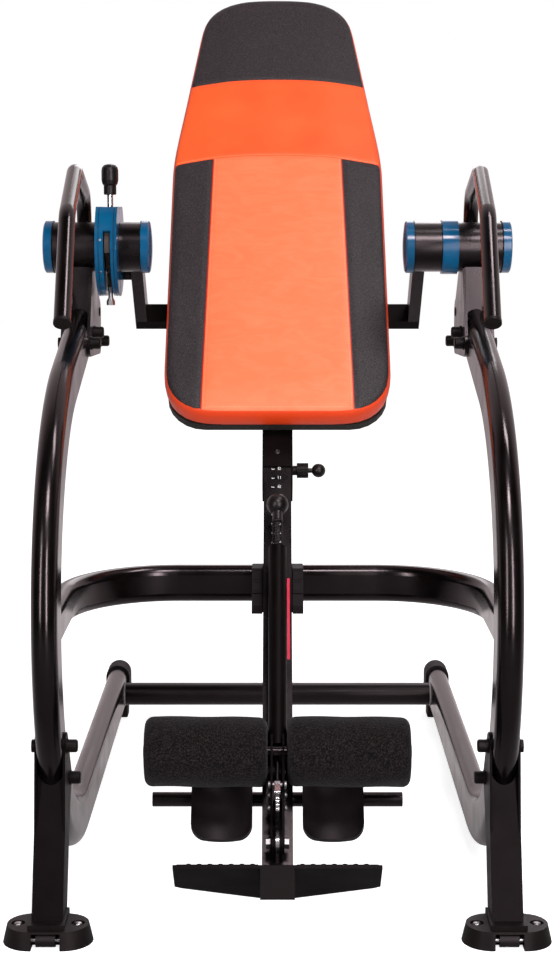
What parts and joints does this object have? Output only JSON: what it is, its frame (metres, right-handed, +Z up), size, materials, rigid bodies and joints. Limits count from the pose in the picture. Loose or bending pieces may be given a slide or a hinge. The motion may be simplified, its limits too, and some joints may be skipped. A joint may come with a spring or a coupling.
{
  "type": "inversion table",
  "caption": "Inversion table with hoop side frames, tilting padded bed, sliding boom with foot plate, ratchet ankle clamp with foam rollers, hand brake and grab handles.",
  "frame": {"origin": "on the floor at the centre of the bounding box seen from above, straight below the pivot axis", "axes": "+X to the right as seen from the front, +Y from the foot end to the back, +Z up"},
  "size_m": [0.79, 1.3339, 1.4517],
  "materials": {
    "black_frame": "gloss powder coat",
    "pad_vinyl": "satin padded vinyl in orange and black",
    "board_ply": "black stained plywood",
    "foam": "matt closed-cell foam",
    "rubber_black": "moulded rubber",
    "plastic_black": "matt moulded plastic",
    "plastic_blue": "glossy moulded plastic",
    "plastic_grey": "matt moulded plastic",
    "knob_black": "glossy moulded plastic",
    "steel_bright": "chrome plated",
    "steel_plain": "zinc plated",
    "bronze": "sintered bronze",
    "drum_iron": "turned",
    "band_lining": "woven friction lining on a steel strap"
  },
  "bodies": {
    "frame": {"hoop_left": "black_frame", "hoop_right": "black_frame", "rear_shoes": "rubber_black", "rear_crossbar": "black_frame", "rest_bar": "black_frame", "rest_bumper": "rubber_black", "post_left": "black_frame", "post_right": "black_frame", "foot_pads": "plastic_black", "roller_pins": "steel_plain", "pivot_stand_left": "black_frame", "pivot_stand_right": "black_frame", "frame_bolts": "steel_plain", "pivot_axles": "steel_plain", "outer_caps": "plastic_blue", "handle_left": "black_frame", "handle_right": "black_frame", "tube_plugs": "plastic_black", "brake_drum": "drum_iron", "spacer_ring": "plastic_blue"},
    "bed": {"swing_arm_left": "black_frame", "swing_arm_right": "black_frame", "bed_crossbar": "black_frame", "spine": "black_frame", "back_board": "board_ply", "back_pad": "pad_vinyl", "board_straps": "black_frame", "pivot_bushes": "bronze", "inner_caps": "plastic_blue", "caliper_outer": "plastic_blue", "caliper_inner": "plastic_blue", "brake_band": "band_lining", "brake_bolts": "steel_plain", "pin_barrel": "plastic_black"},
    "brake": {"brake_lever": "steel_bright", "brake_knob": "knob_black"},
    "pin": {"height_pin": "knob_black"},
    "boom_slide": {"boom": "black_frame", "foot_stub": "black_frame", "end_caps": "plastic_black", "foot_plate": "black_frame", "foot_treads": "rubber_black", "heel_bar": "black_frame", "heel_cradle_left": "plastic_grey", "heel_cradle_right": "plastic_grey", "ratchet_bracket": "black_frame", "ratchet_sector": "steel_bright", "clamp_bolt": "steel_plain"},
    "clamp": {"clamp_lever": "black_frame", "roller_axle": "black_frame", "release_spring": "steel_plain", "pawl_pin": "steel_plain"},
    "rod": {"release_rod": "steel_bright", "release_knob": "knob_black"},
    "pawl_arm": {"pawl": "steel_bright"},
    "ankle_left": {"foam_roller_left": "foam"},
    "ankle_right": {"foam_roller_right": "foam"},
    "wheel_left": {"transport_roller_left": "plastic_grey"},
    "wheel_right": {"transport_roller_right": "plastic_grey"}
  },
  "joints": [
    {"name": "bed_tilt", "type": "hinge", "parent": "frame", "child": "bed", "pos_m": [0, 0, 0.98], "axis": [-1, 0, 0], "range_deg": [0, 120]},
    {"name": "brake_lever_turn", "type": "hinge", "parent": "bed", "child": "brake", "pos_m": [-0.278, 0, 1.0355], "axis": [1, 0, 0], "range_deg": [-18, 18]},
    {"name": "height_pin_slide", "type": "slide", "parent": "bed", "child": "pin", "axis": [1, 0, 0], "range_m": [-0.003, 0.006], "stiffness_N_per_m": 150},
    {"name": "boom_height", "type": "slide", "parent": "bed", "child": "boom_slide", "axis": [0, -0.682, -0.7314], "range_m": [-0.126, 0.036]},
    {"name": "clamp_swing", "type": "hinge", "parent": "boom_slide", "child": "clamp", "pos_m": [0, -0.5723, 0.14635], "axis": [1, 0, 0], "range_deg": [0, 24]},
    {"name": "release_slide", "type": "slide", "parent": "clamp", "child": "rod", "axis": [0, -0.682, -0.7314], "range_m": [0, 0.003], "stiffness_N_per_m": 500, "deforming": ["release_spring"]},
    {"name": "pawl_turn", "type": "hinge", "parent": "clamp", "child": "pawl_arm", "pos_m": [0, -0.55354, 0.22731], "axis": [-1, 0, 0], "range_deg": [-8, 8]},
    {"name": "ankle_roller_left_turn", "type": "hinge", "parent": "clamp", "child": "ankle_left", "pos_m": [-0.1035, -0.50343, 0.26125], "axis": [1, 0, 0], "continuous": true},
    {"name": "ankle_roller_right_turn", "type": "hinge", "parent": "clamp", "child": "ankle_right", "pos_m": [0.1035, -0.50343, 0.26125], "axis": [1, 0, 0], "continuous": true},
    {"name": "transport_roller_left_turn", "type": "hinge", "parent": "frame", "child": "wheel_left", "pos_m": [-0.33, -0.596, 0.012], "axis": [1, 0, 0], "continuous": true},
    {"name": "transport_roller_right_turn", "type": "hinge", "parent": "frame", "child": "wheel_right", "pos_m": [0.33, -0.596, 0.012], "axis": [1, 0, 0], "continuous": true}
  ],
  "couplings": [
    {"joint": "pawl_turn", "follows": "release_slide", "rad_per_m": 36.364}
  ]
}
